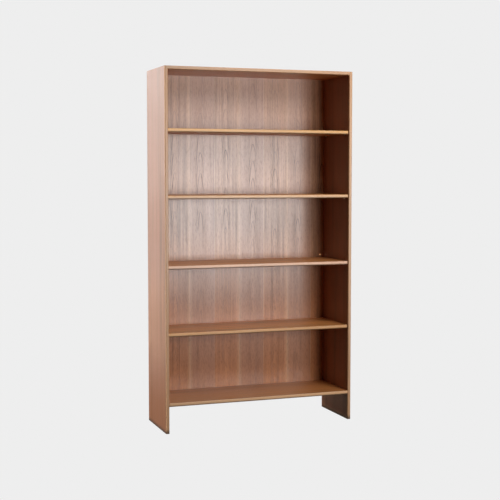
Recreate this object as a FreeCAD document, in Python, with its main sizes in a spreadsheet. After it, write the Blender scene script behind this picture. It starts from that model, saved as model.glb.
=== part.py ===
import FreeCAD, Part

import os
import re

import Sketcher

# Bookcase with adjustable shelves, in millimetres. +Z is up, the open front faces -Y,
# and the origin is on the floor under the middle of the case.

SIZES = {
    # the case
    "case_height": 1950,
    "case_width": 1080,
    "case_depth": 364,
    "board": 19,
    "lipping": 8,
    "case_arris": 6,
    "shelf_upper_arris": 2.5,
    "shelf_lower_arris": 5,
    "bottom_shelf_top": 163,
    "bottom_recess": 1,
    # the back, let into rabbets of the sides and the top
    "back_thickness": 6,
    "rabbet_depth": 10,
    "rabbet_width": 8,
    "back_fit": 0.5,
    # the adjustable shelves
    "shelf_top_1": 1624,
    "shelf_top_2": 1270,
    "shelf_top_3": 897,
    "shelf_top_4": 537,
    "shelf_recess": 11,
    "shelf_side_gap": 1,
    "shelf_back_gap": 2,
    # the shelf pins and the rows of holes that take them
    "pin_radius": 2.45,
    "pin_running_gap": 0.05,
    "pin_seated": 9,
    "pin_hole_extra": 1.5,
    "pin_collar": 1.05,
    "pin_head_length": 8,
    "pin_flat_rise": 0.15,
    "pin_chamfer": 0.6,
    "hole_pitch": 32,
    "holes_each_way": 2,
    "front_column": 52,
    "rear_column": 44,
    # the loose tongues in the mitred top corners
    "tongue_thickness": 4,
    "tongue_reach": 7,
    "tongue_end_margin": 18,
    # the dowels of the bottom shelf
    "dowel_radius": 4,
    "dowel_in_side": 10,
    "dowel_in_shelf": 22,
    "dowel_margin": 40,
    "glue_gap": 0.05,
    # the round-head screws of the back
    "screw_radius": 1.5,
    "screw_length": 18,
    "screw_head_radius": 3,
    "screw_head_height": 2,
    "side_screws": 6,
    "end_screws": 4,
    "side_screw_margin": 90,
    "end_screw_margin": 150,
    # the small round-head pin on the back, over the third shelf
    "stud_radius": 0.8,
    "stud_seated": 4,
    "stud_head_radius": 2.6,
    "stud_head_height": 1.8,
    "stud_rounding": 1.6,
    "stud_from_side": 18,
    "stud_over_shelf": 14,
}

SHELVES = (1, 2, 3, 4)
SIDES = {"left": -1, "right": 1}

# planes and edges that several pieces share
OUTER = "(case_width / 2)"
INNER = "(case_width / 2 - board)"
FRONT = "(-case_depth / 2)"
BACK = "(case_depth / 2)"
PANEL_FRONT = f"({FRONT} + lipping)"
LEDGE = f"({BACK} - rabbet_depth)"
BACK_FACE = f"({LEDGE} + back_thickness)"
TOP = "case_height"
TOP_UNDER = "(case_height - board)"
BOTTOM_UNDER = "(bottom_shelf_top - board)"
LEDGE_MIDDLE = f"({INNER} + rabbet_width / 2)"
PIN_HOLE_RADIUS = "(pin_radius + pin_running_gap)"
PIN_HEAD_RADIUS = "(pin_radius + pin_collar)"
PIN_FLAT = "(pin_radius + pin_flat_rise)"
SCREW_HOLE_RADIUS = "(screw_radius + glue_gap)"
SIDE_SCREW_FIRST = f"({BOTTOM_UNDER} + side_screw_margin)"
SIDE_SCREW_SPAN = f"({TOP_UNDER} - {BOTTOM_UNDER} - 2 * side_screw_margin)"
END_SCREW_FIRST = f"(end_screw_margin - {INNER})"
END_SCREW_SPAN = f"(2 * ({INNER} - end_screw_margin))"
END_SCREW_LOW = f"({BOTTOM_UNDER} + board / 2)"
END_SCREW_HIGH = f"({TOP_UNDER} + rabbet_width / 2)"
SCREW_IN_WOOD = "(screw_length - back_thickness)"
STUD_X = f"({INNER} - stud_from_side)"
STUD_Z = "(shelf_top_3 + stud_over_shelf)"
TONGUE_REAR = f"({LEDGE} - tongue_end_margin)"
TONGUE_LENGTH = f"({TONGUE_REAR} - {PANEL_FRONT} - tongue_end_margin)"
BOTTOM_FRONT = f"({FRONT} + bottom_recess + lipping)"
DOWEL_ROWS = (
    f"({BOTTOM_FRONT} + dowel_margin)",
    f"(({BOTTOM_FRONT} + {LEDGE}) / 2)",
    f"({LEDGE} - dowel_margin)",
)
DOWEL_HEIGHT = f"({BOTTOM_UNDER} + board / 2)"
DOWEL_HOLE_RADIUS = "(dowel_radius + glue_gap)"
COLUMNS = {
    "front": f"({FRONT} + front_column)",
    "rear": f"({LEDGE} - rear_column)",
}

document = FreeCAD.newDocument("bookcase")
sheet = document.addObject("Spreadsheet::Sheet", "Sizes")
for line, (word, value) in enumerate(SIZES.items(), 1):
    sheet.set(f"A{line}", word)
    sheet.set(f"B{line}", str(value))
    sheet.setAlias(f"B{line}", word)
document.recompute()


def sized(text):
    """An expression in which each named size points at its cell of the sheet."""
    def cell(found):
        return "Sizes." + found[0] if found[0] in SIZES else found[0]
    return re.sub(r"[a-z_]+[a-z_0-9]*", cell, text)


def number(text):
    """The present value of an expression."""
    return float(sheet.evalExpression(sized(text)))


def mirrored(side, text):
    """An x on the left or on the right of the case."""
    return f"({SIDES[side]} * {text})"


# sketches: XZ sketches look along +Y, YZ sketches look along -X

def new_body(label):
    body = document.addObject("PartDesign::Body", label)
    body.Label = label
    body.AllowCompound = True
    return body


def origin_part(body, role):
    return next(item for item in body.Origin.OriginFeatures if item.Role == role)


def new_sketch(body, name, plane, place):
    """A sketch on the XZ plane at a y, on the YZ plane at an x, or on the XY plane at a z."""
    sketch = body.newObject("Sketcher::SketchObject", name)
    sketch.AttachmentSupport = [(origin_part(body, plane + "_Plane"), "")]
    sketch.MapMode = "FlatFace"
    sign = "-" if plane == "XZ" else ""
    sketch.setExpression("AttachmentOffset.Base.z", sized(f"{sign}({place})"))
    return sketch


def pin_point(sketch, curve, vertex, across, up):
    """Tie one point of a sketch to two expressions."""
    for kind, text in (("DistanceX", across), ("DistanceY", up)):
        rule = sketch.addConstraint(Sketcher.Constraint(kind, -1, 1, curve, vertex, number(text)))
        sketch.setExpression(f"Constraints[{rule}]", sized(text))


def outline(body, name, plane, place, corners):
    """A closed outline of straight lines through corners given as expressions."""
    sketch = new_sketch(body, name, plane, place)
    points = [FreeCAD.Vector(number(across), number(up), 0) for across, up in corners]
    for start, end in zip(points, points[1:] + points[:1]):
        sketch.addGeometry(Part.LineSegment(start, end))
    for curve in range(len(points)):
        sketch.addConstraint(Sketcher.Constraint("Coincident", curve, 2, (curve + 1) % len(points), 1))
    for curve, (across, up) in enumerate(corners):
        pin_point(sketch, curve, 1, across, up)
    return sketch


def rectangle(body, name, plane, place, low, high):
    (left, bottom), (right, top) = low, high
    return outline(body, name, plane, place, [(left, bottom), (right, bottom), (right, top), (left, top)])


def circles(body, name, plane, place, centres, radius):
    sketch = new_sketch(body, name, plane, place)
    for curve, (across, up) in enumerate(centres):
        centre = FreeCAD.Vector(number(across), number(up), 0)
        sketch.addGeometry(Part.Circle(centre, FreeCAD.Vector(0, 0, 1), number(radius)))
        pin_point(sketch, curve, 3, across, up)
        rule = sketch.addConstraint(Sketcher.Constraint("Radius", curve, number(radius)))
        sketch.setExpression(f"Constraints[{rule}]", sized(radius))
    return sketch


# features

def pad(body, profile, length):
    """Thicken a profile: an XZ profile grows towards the front, a YZ profile towards +X."""
    feature = body.newObject("PartDesign::Pad", profile.Name + "_pad")
    feature.Profile = profile
    feature.setExpression("Length", sized(length))
    document.recompute()
    return feature


def pocket(body, profile, depth, along_normal):
    """Cut a profile, along the sketch's normal or against it."""
    feature = body.newObject("PartDesign::Pocket", profile.Name + "_cut")
    feature.Profile = profile
    feature.Reversed = along_normal
    feature.setExpression("Length", sized(depth))
    document.recompute()
    return feature


def turned(body, profile, axis):
    feature = body.newObject("PartDesign::Revolution", profile.Name + "_turned")
    feature.Profile = profile
    feature.ReferenceAxis = (profile, [axis])
    feature.Angle = 360
    document.recompute()
    return feature


def row(body, feature, axis, count, span):
    """Repeat a feature evenly over a span along one axis of its body."""
    pattern = body.newObject("PartDesign::LinearPattern", feature.Name + "_row")
    pattern.Originals = [feature]
    pattern.Direction = (origin_part(body, axis + "_Axis"), [""])
    pattern.setExpression("Length", sized(span))
    pattern.setExpression("Occurrences", sized(count))
    body.Tip = pattern
    document.recompute()
    return pattern


def two_rows(body, feature, first, second):
    """Repeat a feature over two directions, each given as axis, count and span."""
    pattern = row(body, feature, *first)
    axis, count, span = second
    pattern.Direction2 = (origin_part(body, axis + "_Axis"), [""])
    pattern.setExpression("Length2", sized(span))
    pattern.setExpression("Occurrences2", sized(count))
    document.recompute()
    return pattern


def near(a, b):
    return abs(a - b) < 0.01


def rounded(body, feature, radius, along, **lies_at):
    """Round the edges of a feature that run along an axis, or any way, and lie at given places."""
    names = []
    for index, edge in enumerate(feature.Shape.Edges, 1):
        middle = edge.CenterOfMass
        way = edge.tangentAt(edge.FirstParameter)
        placed = all(near(getattr(middle, axis), number(text)) for axis, text in lies_at.items())
        if placed and (along == "any" or near(abs(getattr(way, along)), 1)):
            names.append(f"Edge{index}")
    fillet = body.newObject("PartDesign::Fillet", feature.Name + "_rounded")
    fillet.Base = (feature, names)
    fillet.setExpression("Radius", sized(radius))
    document.recompute()
    return fillet


def place(piece, x, y, z):
    for axis, text in zip("xyz", (x, y, z)):
        piece.setExpression(f"Placement.Base.{axis}", sized(text))


def block(label, length, width, height, x, y, z):
    """A plain board with its low corner at x, y, z."""
    piece = document.addObject("Part::Box", label)
    piece.Label = label
    piece.setExpression("Length", sized(length))
    piece.setExpression("Width", sized(width))
    piece.setExpression("Height", sized(height))
    place(piece, x, y, z)
    return piece


# the case

def side_outline(side):
    """A side seen from the front: square at the foot, mitred at the top."""
    inner = mirrored(side, INNER)
    outer = mirrored(side, OUTER)
    return [(inner, "0"), (outer, "0"), (outer, TOP), (inner, TOP_UNDER)]


def top_outline():
    low, high = TOP_UNDER, TOP
    return [(f"-{INNER}", low), (INNER, low), (OUTER, high), (f"-{OUTER}", high)]


def tongue_outline(side, gap):
    """The section of the loose tongue, square across the mitre and centred on it."""
    reach = f"(tongue_reach - {gap})"
    half = f"(tongue_thickness / 2 - {gap})"
    corners = []
    for along, across in ((1, 1), (1, -1), (-1, -1), (-1, 1)):
        x = f"({OUTER} - board / 2 + ({along} * {reach} + {across} * {half}) / sqrt(2))"
        z = f"({TOP} - board / 2 + ({across} * {half} - {along} * {reach}) / sqrt(2))"
        corners.append((mirrored(side, x), z))
    return corners


def tongue_groove(body, side):
    groove = outline(body, f"{side}_groove", "XZ", TONGUE_REAR, tongue_outline(side, "0"))
    pocket(body, groove, TONGUE_LENGTH, True)


def corner_tongue(side):
    body = new_body(f"{side}_corner_tongue")
    corners = tongue_outline(side, "glue_gap")
    section = outline(body, "section", "XZ", f"{TONGUE_REAR} - glue_gap", corners)
    pad(body, section, f"{TONGUE_LENGTH} - 2 * glue_gap")


def pin_axis(shelf):
    """The height of the pins that carry a shelf."""
    return f"(shelf_top_{shelf} - board - {PIN_FLAT})"


def side_panel(side):
    body = new_body(f"{side}_side_panel")
    into_side = side == "right"
    inner = mirrored(side, INNER)

    panel = outline(body, "panel", "XZ", BACK, side_outline(side))
    pad(body, panel, f"{BACK} - {PANEL_FRONT}")

    rabbet_edge = mirrored(side, f"({INNER} + rabbet_width)")
    rabbet = rectangle(body, "rabbet", "XZ", BACK, (inner, BOTTOM_UNDER), (rabbet_edge, TOP))
    pocket(body, rabbet, "rabbet_depth", True)
    tongue_groove(body, side)

    lowest = [(column, f"{pin_axis(shelf)} - holes_each_way * hole_pitch")
              for shelf in SHELVES for column in COLUMNS.values()]
    pin_holes = circles(body, "pin_holes", "YZ", inner, lowest, PIN_HOLE_RADIUS)
    drilled = pocket(body, pin_holes, "pin_seated + pin_hole_extra", into_side)
    row(body, drilled, "Z", "2 * holes_each_way + 1", "2 * holes_each_way * hole_pitch")

    dowels = [(place_y, DOWEL_HEIGHT) for place_y in DOWEL_ROWS]
    dowel_holes = circles(body, "dowel_holes", "YZ", inner, dowels, DOWEL_HOLE_RADIUS)
    pocket(body, dowel_holes, "dowel_in_side + glue_gap", into_side)

    first = [(mirrored(side, LEDGE_MIDDLE), SIDE_SCREW_FIRST)]
    screw_hole = circles(body, "screw_hole", "XZ", LEDGE, first, SCREW_HOLE_RADIUS)
    bored = pocket(body, screw_hole, f"{SCREW_IN_WOOD} + glue_gap", True)
    row(body, bored, "Z", "side_screws", SIDE_SCREW_SPAN)


def side_lipping(side):
    """The solid edge strip down the front of a side, its two front arrises rounded."""
    body = new_body(f"{side}_side_lipping")
    strip = outline(body, "strip", "XZ", PANEL_FRONT, side_outline(side))
    solid = pad(body, strip, "lipping")
    rounded(body, solid, "case_arris", "z", y=FRONT)


def end_screw_holes(body, height):
    """The row of screw holes behind the top or the bottom shelf."""
    hole = circles(body, "screw_hole", "XZ", LEDGE, [(END_SCREW_FIRST, height)], SCREW_HOLE_RADIUS)
    bored = pocket(body, hole, f"{SCREW_IN_WOOD} + glue_gap", True)
    row(body, bored, "X", "end_screws", END_SCREW_SPAN)


def top_panel():
    body = new_body("top_panel")
    panel = outline(body, "panel", "XZ", BACK, top_outline())
    pad(body, panel, f"{BACK} - {PANEL_FRONT}")

    reach = f"({INNER} + rabbet_width)"
    low = (f"-{reach}", TOP_UNDER)
    high = (reach, f"{TOP_UNDER} + rabbet_width")
    rabbet = rectangle(body, "rabbet", "XZ", BACK, low, high)
    pocket(body, rabbet, "rabbet_depth", True)
    for side in SIDES:
        tongue_groove(body, side)

    end_screw_holes(body, END_SCREW_HIGH)


def top_lipping():
    body = new_body("top_lipping")
    strip = outline(body, "strip", "XZ", PANEL_FRONT, top_outline())
    solid = pad(body, strip, "lipping")
    rounded(body, solid, "case_arris", "x", y=FRONT)


def shelf_lipping(label, half_length, front, underside):
    """The strip along the front of a shelf: a small upper arris and a fuller lower one."""
    body = new_body(label)
    corners = ("0", "0"), ("lipping", "board")
    section = rectangle(body, "section", "YZ", f"-{half_length}", *corners)
    solid = pad(body, section, f"2 * {half_length}")
    upper = rounded(body, solid, "shelf_upper_arris", "x", y="0", z="board")
    rounded(body, upper, "shelf_lower_arris", "x", y="0", z="0")
    place(body, "0", front, underside)


def bottom_shelf():
    """The fixed shelf, dowelled between the sides."""
    body = new_body("bottom_shelf_board")
    low = (BOTTOM_FRONT, BOTTOM_UNDER)
    high = (LEDGE, "bottom_shelf_top")
    section = rectangle(body, "section", "YZ", f"-{INNER}", low, high)
    pad(body, section, f"2 * {INNER}")

    dowels = [(place_y, DOWEL_HEIGHT) for place_y in DOWEL_ROWS]
    for side in SIDES:
        holes = circles(body, f"{side}_holes", "YZ", mirrored(side, INNER), dowels, DOWEL_HOLE_RADIUS)
        pocket(body, holes, "dowel_in_shelf + glue_gap", side == "left")

    end_screw_holes(body, END_SCREW_LOW)
    shelf_lipping("bottom_shelf_lipping", INNER, f"({FRONT} + bottom_recess)", BOTTOM_UNDER)


def bottom_dowels(side):
    body = new_body(f"{side}_bottom_dowels")
    centres = [(place_y, DOWEL_HEIGHT) for place_y in DOWEL_ROWS]
    start = f"({INNER} - dowel_in_shelf)" if side == "right" else f"(-{INNER} - dowel_in_side)"
    section = circles(body, "section", "YZ", start, centres, "dowel_radius")
    pad(body, section, "dowel_in_side + dowel_in_shelf")


def back_panel():
    """The thin back, from the underside of the bottom shelf up into the top."""
    body = new_body("back_panel")
    reach = f"({INNER} + rabbet_width - back_fit)"
    high = f"({TOP_UNDER} + rabbet_width - back_fit)"
    panel = rectangle(body, "panel", "XZ", BACK_FACE, (f"-{reach}", BOTTOM_UNDER), (reach, high))
    pad(body, panel, "back_thickness")

    corner = [(f"-{LEDGE_MIDDLE}", SIDE_SCREW_FIRST)]
    side_hole = circles(body, "side_hole", "XZ", BACK_FACE, corner, SCREW_HOLE_RADIUS)
    bored = pocket(body, side_hole, "back_thickness", True)
    two_rows(body, bored, ("Z", "side_screws", SIDE_SCREW_SPAN), ("X", "2", f"2 * {LEDGE_MIDDLE}"))

    corner = [(END_SCREW_FIRST, END_SCREW_LOW)]
    end_hole = circles(body, "end_hole", "XZ", BACK_FACE, corner, SCREW_HOLE_RADIUS)
    bored = pocket(body, end_hole, "back_thickness", True)
    rise = f"{END_SCREW_HIGH} - {END_SCREW_LOW}"
    two_rows(body, bored, ("X", "end_screws", END_SCREW_SPAN), ("Z", "2", rise))

    stud_hole = circles(body, "stud_hole", "XZ", LEDGE, [(STUD_X, STUD_Z)], "stud_radius + glue_gap")
    pocket(body, stud_hole, "stud_seated + glue_gap", False)


def back_screws(label, first_x, first_z, *rows):
    """Round-head screws driven from behind, as a group of separate solids."""
    body = new_body(label)
    profile = outline(body, "profile", "XY", "0", [
        ("0", "screw_head_height"),
        ("screw_head_radius / 2", "screw_head_height"),
        ("screw_head_radius", "screw_head_height / 2"),
        ("screw_head_radius", "0"),
        ("screw_radius", "0"),
        ("screw_radius", "2 * screw_radius - screw_length"),
        ("0", "-screw_length"),
    ])
    two_rows(body, turned(body, profile, "V_Axis"), *rows)
    place(body, first_x, BACK_FACE, first_z)


def back_stud():
    """A small bright round-head pin in the front of the back."""
    body = new_body("back_panel_stud")
    pad(body, circles(body, "shank", "XZ", "stud_seated", [("0", "0")], "stud_radius"), "stud_seated")
    head = pad(body, circles(body, "head", "XZ", "0", [("0", "0")], "stud_head_radius"), "stud_head_height")
    rounded(body, head, "stud_rounding", "any", y="-stud_head_height")
    place(body, STUD_X, LEDGE, STUD_Z)


# the adjustable shelves

def adjustable_shelf(shelf):
    half_length = f"({INNER} - shelf_side_gap)"
    front = f"({FRONT} + shelf_recess)"
    underside = f"(shelf_top_{shelf} - board)"
    depth = f"{LEDGE} - shelf_back_gap - {front} - lipping"
    block(f"shelf_{shelf}_board", f"2 * {half_length}", depth, "board",
          f"-{half_length}", f"{front} + lipping", underside)
    shelf_lipping(f"shelf_{shelf}_lipping", half_length, front, underside)


def shelf_pin(shelf, column, side):
    """A turned pin: a shank in the side and a head, flat on top, under the shelf."""
    body = new_body(f"shelf_{shelf}_pin_{column}_{side}")
    profile = outline(body, "profile", "XZ", "0", [
        ("-pin_seated", "0"),
        ("-pin_seated", "pin_radius - pin_chamfer"),
        ("pin_chamfer - pin_seated", "pin_radius"),
        ("0", "pin_radius"),
        ("0", PIN_HEAD_RADIUS),
        ("pin_head_length - pin_chamfer", PIN_HEAD_RADIUS),
        ("pin_head_length", f"{PIN_HEAD_RADIUS} - pin_chamfer"),
        ("pin_head_length", "0"),
    ])
    turned(body, profile, "H_Axis")
    low = (f"-{PIN_HEAD_RADIUS}", PIN_FLAT)
    high = (PIN_HEAD_RADIUS, PIN_HEAD_RADIUS)
    pocket(body, rectangle(body, "flat", "YZ", "0", low, high), "pin_head_length", True)
    if side == "right":
        body.Placement.Rotation = FreeCAD.Rotation(FreeCAD.Vector(0, 0, 1), 180)
    place(body, mirrored(side, INNER), COLUMNS[column], pin_axis(shelf))


for side in SIDES:
    side_panel(side)
    side_lipping(side)
    corner_tongue(side)
    bottom_dowels(side)
top_panel()
top_lipping()
bottom_shelf()
back_panel()
back_screws("back_side_screws", f"-{LEDGE_MIDDLE}", SIDE_SCREW_FIRST,
            ("Z", "side_screws", SIDE_SCREW_SPAN), ("X", "2", f"2 * {LEDGE_MIDDLE}"))
back_screws("back_end_screws", END_SCREW_FIRST, END_SCREW_LOW,
            ("X", "end_screws", END_SCREW_SPAN), ("Z", "2", f"{END_SCREW_HIGH} - {END_SCREW_LOW}"))
back_stud()
for shelf in SHELVES:
    adjustable_shelf(shelf)
    for column in COLUMNS:
        for side in SIDES:
            shelf_pin(shelf, column, side)
document.recompute()

# check everything, then write one file per piece
for item in document.Objects:
    if "Invalid" in item.State or "Error" in item.State:
        raise RuntimeError(f"{item.Label} failed: {item.State}")
    base = getattr(item, "BaseFeature", None)
    if base is not None and near(item.Shape.Volume, base.Shape.Volume):
        raise RuntimeError(f"{item.Label} changes nothing")

pieces = [item for item in document.Objects if item.TypeId in ("PartDesign::Body", "Part::Box")]
for piece in pieces:
    if piece.Shape.isNull() or not piece.Shape.isValid():
        raise RuntimeError(f"{piece.Label} has no valid shape")

os.makedirs("parts", exist_ok=True)
for piece in pieces:
    piece.Shape.exportStep(f"parts/{piece.Label}.step")
    print(f"{piece.Label}: {len(piece.Shape.Solids)} solids, {piece.Shape.Volume / 1000:.2f} cm3")
print(len(pieces), "pieces")
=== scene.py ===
import math

import bpy
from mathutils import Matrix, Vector


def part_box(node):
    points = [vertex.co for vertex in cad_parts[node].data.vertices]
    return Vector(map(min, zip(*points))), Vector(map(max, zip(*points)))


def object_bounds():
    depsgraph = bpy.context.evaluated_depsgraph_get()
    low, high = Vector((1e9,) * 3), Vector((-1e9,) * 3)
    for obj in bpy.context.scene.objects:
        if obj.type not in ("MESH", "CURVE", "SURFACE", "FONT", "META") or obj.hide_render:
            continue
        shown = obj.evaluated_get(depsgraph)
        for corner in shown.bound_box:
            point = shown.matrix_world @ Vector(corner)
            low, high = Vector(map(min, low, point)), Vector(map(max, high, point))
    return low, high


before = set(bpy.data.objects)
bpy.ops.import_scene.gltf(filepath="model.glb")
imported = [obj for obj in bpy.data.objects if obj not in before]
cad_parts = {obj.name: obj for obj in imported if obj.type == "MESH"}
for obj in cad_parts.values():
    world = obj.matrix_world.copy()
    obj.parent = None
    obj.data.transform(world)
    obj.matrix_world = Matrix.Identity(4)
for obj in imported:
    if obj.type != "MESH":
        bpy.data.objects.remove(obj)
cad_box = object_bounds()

# Places of the case, in metres, read from the frame: +Z is up and the open front faces -Y.
CASE_LOW, CASE_HIGH = cad_box
PANEL_LOW, PANEL_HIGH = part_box("right_side_panel")
BACK_LOW, BACK_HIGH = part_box("back_panel")
BOARD = PANEL_HIGH.x - PANEL_LOW.x
INNER_X = PANEL_LOW.x
BACK_FRONT_Y = BACK_LOW.y

PAPER = 0.855          # the pale studio surround, as a linear value


# shader maths

class Wire:
    """An output socket of a finish. Arithmetic on wires adds Math nodes."""

    def __init__(self, finish, socket):
        self.finish = finish
        self.socket = socket

    def math(self, operation, *values):
        return self.finish.add("ShaderNodeMath", {"operation": operation}, dict(enumerate(values)))

    def __add__(self, other):
        return self.math("ADD", self, other)

    __radd__ = __add__

    def __sub__(self, other):
        return self.math("SUBTRACT", self, other)

    def __rsub__(self, other):
        return self.math("SUBTRACT", other, self)

    def __mul__(self, other):
        return self.math("MULTIPLY", self, other)

    __rmul__ = __mul__

    def __truediv__(self, other):
        return self.math("DIVIDE", self, other)

    def __pow__(self, other):
        return self.math("POWER", self, other)

    def __abs__(self):
        return self.math("ABSOLUTE", self)

    def floor(self):
        return self.math("FLOOR", self)

    def fraction(self):
        return self.math("FRACT", self)

    def root(self):
        return self.math("SQRT", self)

    def smaller(self, other):
        return self.math("MINIMUM", self, other)

    def larger(self, other):
        return self.math("MAXIMUM", self, other)

    def fade(self, start, end, low=0.0, high=1.0):
        """Goes smoothly from low to high as the value goes from start to end."""
        settings = {"interpolation_type": "SMOOTHSTEP"}
        sockets = {"Value": self, "From Min": start, "From Max": end, "To Min": low, "To Max": high}
        return self.finish.add("ShaderNodeMapRange", settings, sockets)


class Finish:
    """A material whose nodes all come from one method."""

    def __init__(self, name):
        self.material = bpy.data.materials.new(name)
        self.material.use_nodes = True
        self.tree = self.material.node_tree
        self.shader = self.tree.nodes["Principled BSDF"]

    def add(self, kind, settings, sockets, output=None):
        """A node of a type: its settings first, then the values or links of its sockets."""
        node = self.tree.nodes.new(kind)
        for name, value in settings.items():
            if name == "stops":
                self.set_stops(node.color_ramp, value)
            else:
                setattr(node, name, value)
        usable = [socket for socket in node.inputs if socket.enabled]
        for name, value in sockets.items():
            if isinstance(name, int):
                self.feed(usable[name], value)
            else:
                self.feed(next(socket for socket in usable if socket.name == name), value)
        outputs = [socket for socket in node.outputs if socket.enabled]
        if output is not None:
            outputs = [socket for socket in outputs if socket.name == output]
        return Wire(self, outputs[0])

    def feed(self, socket, value):
        if isinstance(value, Wire):
            self.tree.links.new(value.socket, socket)
        elif socket.type == "RGBA" and len(value) == 3:
            socket.default_value = (*value, 1)
        else:
            socket.default_value = value

    def set_stops(self, ramp, stops):
        while len(ramp.elements) < len(stops):
            ramp.elements.new(0.5)
        for element, (position, colour) in zip(ramp.elements, stops):
            element.position = position
            element.color = (*colour, 1)

    def place(self):
        """The rest position in metres, as a vector and as x, y, z."""
        point = self.add("ShaderNodeTexCoord", {}, {}, "Object")
        parts = [self.add("ShaderNodeSeparateXYZ", {}, {"Vector": point}, axis) for axis in "XYZ"]
        return point, parts

    def vector(self, x, y, z):
        return self.add("ShaderNodeCombineXYZ", {}, {"X": x, "Y": y, "Z": z})

    def scaled(self, point, scale):
        return self.add("ShaderNodeVectorMath", {"operation": "MULTIPLY"}, {0: point, 1: scale})

    def noise(self, point, sizes, detail=2.0, roughness=0.5):
        """Soft noise between 0 and 1 whose blots measure about the given sizes in metres."""
        cells = self.scaled(point, [1 / size for size in sizes])
        sockets = {"Vector": cells, "Scale": 1.0, "Detail": detail, "Roughness": roughness}
        return self.add("ShaderNodeTexNoise", {}, sockets)

    def chance(self, value):
        """A steady random number between 0 and 1 for each whole number."""
        return self.add("ShaderNodeTexWhiteNoise", {"noise_dimensions": "1D"}, {"W": value}, "Value")

    def blend(self, amount, first, second, how="MIX"):
        settings = {"data_type": "RGBA", "blend_type": how, "clamp_factor": True}
        return self.add("ShaderNodeMix", settings, {"Factor": amount, "A": first, "B": second})

    def shaded(self, colour, amount):
        """A colour made lighter or darker by a factor near 1."""
        grey = self.vector(amount, amount, amount)
        return self.add("ShaderNodeVectorMath", {"operation": "MULTIPLY"}, {0: colour, 1: grey})

    def ramp(self, value, *stops):
        return self.add("ShaderNodeValToRGB", {"stops": stops}, {0: value})

    def bump(self, height, depth, normal=None):
        """Relief whose full height is a depth in metres."""
        sockets = {"Strength": 1.0, "Distance": depth, "Height": height}
        if normal is not None:
            sockets["Normal"] = normal
        return self.add("ShaderNodeBump", {}, sockets)

    def wear(self, colour, roughness, normal=None, **fixed):
        """Set the surface: what varies is linked, and what is fixed is set on its own socket."""
        self.feed(self.shader.inputs["Base Color"], colour)
        self.feed(self.shader.inputs["Roughness"], roughness)
        if normal is not None:
            self.feed(self.shader.inputs["Normal"], normal)
        for name, value in fixed.items():
            self.feed(self.shader.inputs[name.replace("_", " ")], value)
        return self.material


# teak

SIDE_TEAK = (0.420, 0.195, 0.105)
# Painted shade: a darker copy of the side teak for the inner faces of the sides.
SIDE_TEAK_SHADED_INSIDE = (0.300, 0.112, 0.060)
SHELF_TEAK = (0.600, 0.248, 0.074)
# Painted sheen: BACK_TEAK is the paler copy worn high on the back, BACK_TEAK_LOW the richer copy worn low down.
BACK_TEAK = (0.385, 0.182, 0.086)
BACK_TEAK_LOW = (0.450, 0.172, 0.062)
CASE_STRIP = (0.500, 0.270, 0.135)
# Each shelf's strip has its own colour: partly its own wood tone, partly painted light matched to how brightly
# each shelf front is lit, with painted sheen in the paler shelf_3.
SHELF_STRIPS = {
    "shelf_1": (0.780, 0.385, 0.095),
    "shelf_2": (0.660, 0.350, 0.135),
    "shelf_3": (0.660, 0.370, 0.220),
    "shelf_4": (0.680, 0.330, 0.105),
    "bottom_shelf": (0.600, 0.340, 0.165),
}
BACK_TEAK_TURNED = (0.355, 0.172, 0.104)
BACKING = (0.430, 0.270, 0.155)
LACQUER = {"Specular_IOR_Level": 0.65}
OPEN_LACQUER = {"Specular_IOR_Level": 0.25, "Coat_IOR": 1.6, "Coat_Roughness": 0.265}


def tones(middle, spread=0.25):
    """Ramp stops from the dark grain of a wood to its light grain."""
    dark = [part * 0.64 for part in middle]
    light = [part * 1.28 for part in middle]
    return (0.5 - spread, dark), (0.5, middle), (0.5 + spread, light)


def fibre_sizes(along, length, width):
    """Sizes of a fleck that is long in the direction of the grain."""
    return [length if axis == along else width for axis in "xyz"]


def straight_grain(finish, point, along, streak_width=0.012):
    """Broad bands, narrow streaks and fine pores, each between 0 and 1, along the grain."""
    bands = finish.noise(point, fibre_sizes(along, 1.8, 0.050), detail=1.0)
    streaks = finish.noise(point, fibre_sizes(along, 0.45, streak_width), detail=4.0, roughness=0.62)
    pores = finish.noise(point, fibre_sizes(along, 0.012, 0.0007), detail=1.0)
    return bands, streaks, pores.fade(0.60, 0.74)


def side_veneer():
    """Upright veneer of the sides: soft stripes, a little scuffed at the feet."""
    finish = Finish("side_teak_veneer")
    point, (x, y, z) = finish.place()
    bands, streaks, pores = straight_grain(finish, point, "z", 0.030)
    threads = finish.noise(point, fibre_sizes("z", 0.22, 0.0040), detail=3.0, roughness=0.6)
    tone = bands * 0.5 + streaks * 0.5 + (threads - 0.5) * 0.30
    # Painted shade: the inner faces wear the darker inner colour, and the insides of the legs below the bottom
    # shelf a little less of it.
    outside = abs(x).fade(INNER_X + 0.002, INNER_X + 0.010)
    leg = z.fade(0.140, 0.146, 0.4, 0.0)
    clear_of_painted_shade = outside + leg * (1 - outside)
    painted_shade_inner_colour = finish.ramp(tone, *tones(SIDE_TEAK_SHADED_INSIDE))
    outer_colour = finish.ramp(tone, *tones(SIDE_TEAK, 0.17))
    pinker = (bands + (streaks - 0.5) * 0.5).fade(0.40, 0.62, 0.0, 0.5)
    outer_colour = finish.blend(pinker, outer_colour, (0.400, 0.182, 0.125))
    # Painted shade: the outer side grows darker and redder towards the floor.
    outer_colour = finish.blend(z.fade(0.05, 0.75, 0.5, 0.0), outer_colour, (0.330, 0.128, 0.058))
    colour = finish.blend(clear_of_painted_shade, painted_shade_inner_colour, outer_colour)
    colour = finish.shaded(colour, 1 - pores * 0.22)
    scuffs = finish.noise(point, (0.02, 0.02, 0.012), detail=3.0)
    foot = (z + scuffs * 0.016).fade(0.008, 0.034, 1.0, 0.0)
    colour = finish.blend(foot * 0.85, colour, (0.05, 0.028, 0.018))
    handling = finish.noise(point, (0.12, 0.12, 0.3), detail=2.0)
    roughness = 0.24 + streaks * 0.10 + handling * 0.06 + pores * 0.15 + foot * 0.25
    relief = finish.bump(streaks * 0.3 - pores, 0.00012)
    return finish.wear(colour, roughness, relief, **LACQUER)


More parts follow.
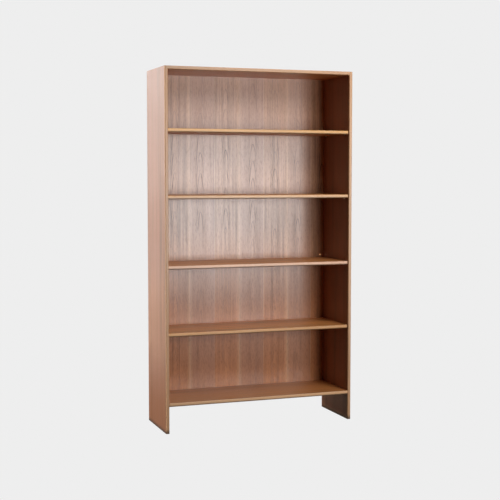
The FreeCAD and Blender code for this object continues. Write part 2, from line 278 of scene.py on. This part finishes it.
def board_veneer():
    """Veneer of the top and the shelves, its grain running from side to side in long waves."""
    finish = Finish("shelf_teak_veneer")
    point, (x, y, z) = finish.place()
    sway = finish.noise(point, (0.35, 0.09, 0.09), detail=1.0)
    bent = finish.vector(x, y + sway * 0.05, z)
    bands, streaks, pores = straight_grain(finish, bent, "x")
    threads = finish.noise(bent, fibre_sizes("x", 0.20, 0.0035), detail=3.0, roughness=0.6)
    tone = bands * 0.5 + streaks * 0.5 + (threads - 0.5) * 0.30
    colour = finish.ramp(tone, *tones(SHELF_TEAK, 0.16))
    # Painted shade: the boards grow darker towards the floor, the bottom shelf most.
    colour = finish.blend(z.fade(0.15, 0.50, 0.5, 0.0), colour, (0.400, 0.140, 0.040))
    colour = finish.shaded(colour, 1 - pores * 0.22)
    handling = finish.noise(point, (0.15, 0.08, 0.15), detail=2.0)
    roughness = 0.30 + streaks * 0.10 + handling * 0.08 + pores * 0.15
    relief = finish.bump(streaks * 0.3 - pores, 0.00012)
    return finish.wear(colour, roughness, relief, **LACQUER)


LEAF = 0.1485            # width of one leaf of the back's veneer
FIRST_SEAM = -0.4490     # x of the leftmost seam
RING = 0.0035            # distance between two marked growth rings in the log
TAPER = 0.031            # how fast the cut leaves the heart of the log on its way up
HEART = 0.008            # distance from the heart at the floor


def leaves(finish, x):
    """The number of each leaf of veneer, and the distance from its middle in metres."""
    across = (x - FIRST_SEAM) / LEAF
    leaf = across.floor()
    return leaf, (across - leaf - 0.5) * LEAF


def arches(finish, leaf, off_middle, z):
    """Pointed arches one inside the other, where the cut runs out through the growth rings."""
    sidestep = (finish.chance(leaf + 0.5) - 0.5) * 0.022
    shift = (finish.chance(leaf + 40.5) - 0.5) * 0.10
    u = off_middle + sidestep
    height = z + shift
    log_point = finish.vector(u, leaf * 0.37, height)
    wander = finish.noise(log_point, (0.30, 1.0, 0.16), detail=0.0)
    heart = height * TAPER + HEART + (wander - 0.5) * 0.0018
    radius = (u * u + heart * heart).root()
    steepness = (u * u + heart * heart * TAPER ** 2).root() / radius
    off_line = abs((radius / RING + 0.5).fraction() - 0.5) * RING / steepness
    line = off_line.fade(0.0010, 0.0028, 1.0, 0.0)
    clear = finish.noise(log_point, (0.05, 1.0, 0.20), detail=1.0).fade(0.38, 0.60, 0.20, 1.0)
    figured = z.fade(0.90, 1.20, 0.40, 1.0) * z.fade(1.50, 1.68, 1.0, 0.45)
    middle = abs(u).fade(0.018, 0.034, 1.0, 0.06)
    return line * clear * figured * middle


def back_veneer():
    """Leaves of one log laid side by side, each with its row of pointed arches."""
    finish = Finish("back_teak_veneer")
    point, (x, y, z) = finish.place()
    leaf, off_middle = leaves(finish, x)
    lines = arches(finish, leaf, off_middle, z)
    bands, streaks, pores = straight_grain(finish, point, "z", 0.0065)
    flames = finish.noise(point, (0.018, 0.02, 0.40), detail=1.0)
    specks = finish.noise(point, (0.0032, 0.02, 0.020), detail=2.0).fade(0.46, 0.70)
    edge = abs(off_middle) / LEAF
    broken = finish.noise(point, (0.02, 0.02, 0.35), detail=1.0).fade(0.30, 0.60, 0.2, 1.0)
    seam = edge.fade(0.480, 0.494) * broken
    turned_over = (leaf * 0.5).fraction() * 2
    nearest_seam = ((x - FIRST_SEAM) / LEAF + 0.5).floor()
    sapwood = (nearest_seam * 0.5).fraction() * 2 * edge.fade(0.36, 0.48)

    tone = bands * 0.25 + flames * 0.25 + streaks * 0.5
    # Painted sheen: the back turns from the richer low colour to the paler one upward, as the gloss of the front
    # light would.
    painted_sheen_upward = z.fade(0.50, 1.10)
    colour = finish.ramp(tone, *tones(BACK_TEAK, 0.15))
    colour = finish.blend(painted_sheen_upward, finish.ramp(tone, *tones(BACK_TEAK_LOW, 0.24)), colour)
    colour = finish.blend(turned_over * 0.5, colour, BACK_TEAK_TURNED)
    colour = finish.blend(sapwood * 0.30 + seam * 0.35, colour, (0.62, 0.36, 0.19))
    colour = finish.shaded(colour, 1.07 - lines * 0.60 - pores * 0.18 - specks * 0.22)
    bare = y.fade(BACK_FRONT_Y + 0.002, BACK_FRONT_Y + 0.004)
    colour = finish.blend(bare, colour, backing(finish, point))
    roughness = 0.265 + pores * 0.12 + lines * 0.03 + bare * 0.25
    film = 0.590 + (streaks - 0.5) * 0.50 + (flames - 0.5) * 0.32 + seam * 0.12
    film = (film - specks * 0.18 - lines * 0.42 - pores * 0.14) * (1 - bare)
    relief = finish.bump(streaks * 0.15 - pores, 0.0001)
    return finish.wear(colour, roughness, relief, Coat_Weight=film, **OPEN_LACQUER)


def backing(finish, point):
    """The plain, paler veneer on the rear of the back."""
    bands, streaks, pores = straight_grain(finish, point, "z")
    colour = finish.ramp(bands * 0.4 + streaks * 0.6, *tones(BACKING))
    return finish.shaded(colour, 1 - pores * 0.2)


def solid_teak(name, along, middle, low=None):
    """Straight-grained solid strips, a little lighter, darker at the feet and in dents; on the shelf strips the
    lower rounding carries painted shade.
    """
    finish = Finish(name)
    point, (x, y, z) = finish.place()
    bands, streaks, pores = straight_grain(finish, point, along)
    tone = bands * 0.5 + streaks * 0.5
    colour = finish.ramp(tone, *tones(middle))
    colour = finish.shaded(colour, 1 - pores * 0.25)
    dents = finish.noise(point, (0.012, 0.012, 0.012), detail=3.0).fade(0.62, 0.75)
    foot = (z + dents * 0.010).fade(0.005, 0.030, 1.0, 0.0)
    colour = finish.blend(foot * 0.8 + dents * 0.10, colour, (0.06, 0.032, 0.020))
    roughness = 0.30 + streaks * 0.10 + pores * 0.15 + dents * 0.12
    relief = finish.bump(streaks * 0.3 - pores - dents * 0.5, 0.00015)
    # Painted shade: the lowest few millimetres of each shelf strip, its lower rounding, are darkened.
    if low is not None:
        colour = finish.blend((z - low).fade(0.004, 0.009, 0.65, 0.0), colour, (0.10, 0.045, 0.020))
    return finish.wear(colour, roughness, relief, **LACQUER)


def beech():
    """Pale beech with short ray flecks, for the dowels and the loose tongues."""
    finish = Finish("plain_beech")
    point, (x, y, z) = finish.place()
    bands = finish.noise(point, (0.010, 0.012, 0.012), detail=2.0)
    flecks = finish.noise(point, (0.003, 0.0006, 0.0006), detail=1.0).fade(0.62, 0.72)
    colour = finish.ramp(bands, (0.3, (0.50, 0.33, 0.20)), (0.7, (0.66, 0.47, 0.31)))
    colour = finish.shaded(colour, 1 - flecks * 0.35)
    return finish.wear(colour, 0.62 + bands * 0.12, finish.bump(bands - flecks, 0.00008))


# metal

def turned_steel(name, tint, shine):
    """Steel with the fine rings that turning leaves, a little tarnished."""
    finish = Finish(name)
    point, (x, y, z) = finish.place()
    rings = finish.noise(point, (0.00035, 0.00035, 0.00035), detail=1.0)
    tarnish = finish.noise(point, (0.004, 0.004, 0.004), detail=2.0).fade(0.45, 0.75)
    colour = finish.blend(tarnish * 0.5, tint, (0.34, 0.29, 0.23))
    roughness = shine + rings * 0.12 + tarnish * 0.18
    return finish.wear(colour, roughness, finish.bump(rings, 0.00002), Metallic=1.0)


# which finish each piece of the frame wears

def dress():
    upright = side_veneer()
    level = board_veneer()
    upright_strip = solid_teak("upright_solid_teak", "z", CASE_STRIP)
    level_strip = solid_teak("level_solid_teak", "x", CASE_STRIP)
    finishes = {
        "side_panel": upright,
        "side_lipping": upright_strip,
        "top_panel": level,
        "top_lipping": level_strip,
        "_board": level,
        "back_panel": back_veneer(),
        "corner_tongue": beech(),
        "_screws": turned_steel("screw_steel", (0.56, 0.52, 0.46), 0.34),
        "_pin_": turned_steel("pin_steel", (0.62, 0.58, 0.52), 0.26),
        "_stud": turned_steel("bright_steel", (0.93, 0.92, 0.89), 0.26),
    }
    finishes["bottom_dowels"] = finishes["corner_tongue"]
    for shelf, middle in SHELF_STRIPS.items():
        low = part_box(shelf + "_lipping")[0].z
        finishes[shelf + "_lipping"] = solid_teak(shelf + "_solid_teak", "x", middle, low)
    for name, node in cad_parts.items():
        worn = next(finishes[word] for word in finishes if word in name)
        for material_slot in node.material_slots:
            material_slot.material = worn


dress()


# the studio

def stud_spark():
    """A small lamp beside the lens that only the bright stud in the back answers."""
    softbox("stud_spark", (-1.7, -5.4, 1.6), (0.5, 0.17, 0.91), (0.5, 0.5), 2500.0)
    lit = bpy.data.collections.new("lit_by_stud_spark")
    lit.objects.link(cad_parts["back_panel_stud"])
    bpy.data.objects["stud_spark"].light_linking.receiver_collection = lit


def floor():
    """A pale floor that the lens sees, and that leaves the lighting of the case alone."""
    span = 60
    mesh = bpy.data.meshes.new("studio_floor")
    corners = [(-span, -span, 0), (span, -span, 0), (span, span, 0), (-span, span, 0)]
    mesh.from_pydata([(x, y, CASE_LOW.z - 0.0005) for x, y, z in corners], [], [(0, 1, 2, 3)])
    sheet = bpy.data.objects.new("studio_floor", mesh)
    bpy.context.scene.collection.objects.link(sheet)
    finish = Finish("pale_floor")
    black = (0, 0, 0)
    mesh.materials.append(finish.wear(black, 1.0, Specular_IOR_Level=0.0, Emission_Color=(PAPER,) * 3,
                                      Emission_Strength=1.0))
    sheet.visible_diffuse = False
    sheet.visible_glossy = False
    sheet.visible_transmission = False
    sheet.visible_shadow = False


def surround(ambient):
    """A pale wall all round for the lens, and a much weaker even light for the case."""
    world = bpy.data.worlds.new("studio")
    world.use_nodes = True
    nodes, links = world.node_tree.nodes, world.node_tree.links
    wall = nodes["Background"]
    wall.inputs["Color"].default_value = (PAPER, PAPER, PAPER, 1)
    dim = nodes.new("ShaderNodeBackground")
    dim.inputs["Color"].default_value = (ambient, ambient, ambient, 1)
    choice = nodes.new("ShaderNodeMixShader")
    path = nodes.new("ShaderNodeLightPath")
    links.new(path.outputs["Is Camera Ray"], choice.inputs[0])
    links.new(dim.outputs[0], choice.inputs[1])
    links.new(wall.outputs[0], choice.inputs[2])
    links.new(choice.outputs[0], nodes["World Output"].inputs["Surface"])
    bpy.context.scene.world = world


def softbox(name, place, aim, size, radiance, tint=(1.0, 1.0, 1.0)):
    """A flat soft light of a width and height, given by how bright its face is."""
    width, height = size
    data = bpy.data.lights.new(name, "AREA")
    data.shape = "RECTANGLE"
    data.size = width
    data.size_y = height
    data.energy = 4 * radiance * width * height
    data.color = tint
    lamp = bpy.data.objects.new(name, data)
    lamp.location = place
    lamp.rotation_euler = (Vector(aim) - Vector(place)).to_track_quat("-Z", "Y").to_euler()
    lamp.visible_camera = False
    bpy.context.scene.collection.objects.link(lamp)


def camera():
    data = bpy.data.cameras.new("camera")
    data.lens = 79.1
    data.sensor_width = 36
    lens = bpy.data.objects.new("camera", data)
    lens.location = (-2.0864, -5.7651, 1.3827)
    tilt = math.radians(90 - 3.942)
    turn = math.radians(-19.8975)
    lens.rotation_euler = (tilt, 0, turn)
    bpy.context.scene.collection.objects.link(lens)
    bpy.context.scene.camera = lens


def graded_card():
    """A tall card behind the left side, dim at its foot and bright at its top."""
    strip = 0.9
    for level in range(5):
        height = strip * (level - 0.2)
        softbox(f"graded_card_{level}", (-2.0, 4.4, height), (-0.54, 0, height), (1.6, strip), 0.35 + 0.6 * level)


camera()
floor()
surround(0.015)
softbox("front_window", (1.625, -5.0, 1.14), (1.625, 0, 1.14), (1.95, 1.6), 11.3)
softbox("front_high", (1.2, -3.6, 3.4), (0.2, 0, 1.0), (1.2, 1.0), 8.0)
softbox("front_ceiling", (0.9, -2.4, 4.2), (0.2, 0, 1.2), (2.4, 2.0), 2.8)
softbox("left_window", (-3.4, 0.15, 1.2), (-0.54, 0.1, 1.0), (0.7, 2.6), 13.5)
graded_card()
stud_spark()
softbox("rear_low", (-0.3, 2.5, 0.3), (0.52, 0, 0.07), (0.8, 0.6), 8.0, (1.0, 0.7, 0.45))
softbox("right_window", (3.6, 0.9, 1.2), (0.54, 0.1, 1.0), (1.2, 2.2), 4.0)
softbox("rear_card", (2.4, 4.6, 2.2), (0, 0, 1.0), (2.4, 2.4), 3.0)
softbox("overhead", (0.0, 1.0, 4.2), (0, 0, 1.9), (3.0, 2.0), 2.0)
bpy.context.scene.view_settings.view_transform = "Standard"
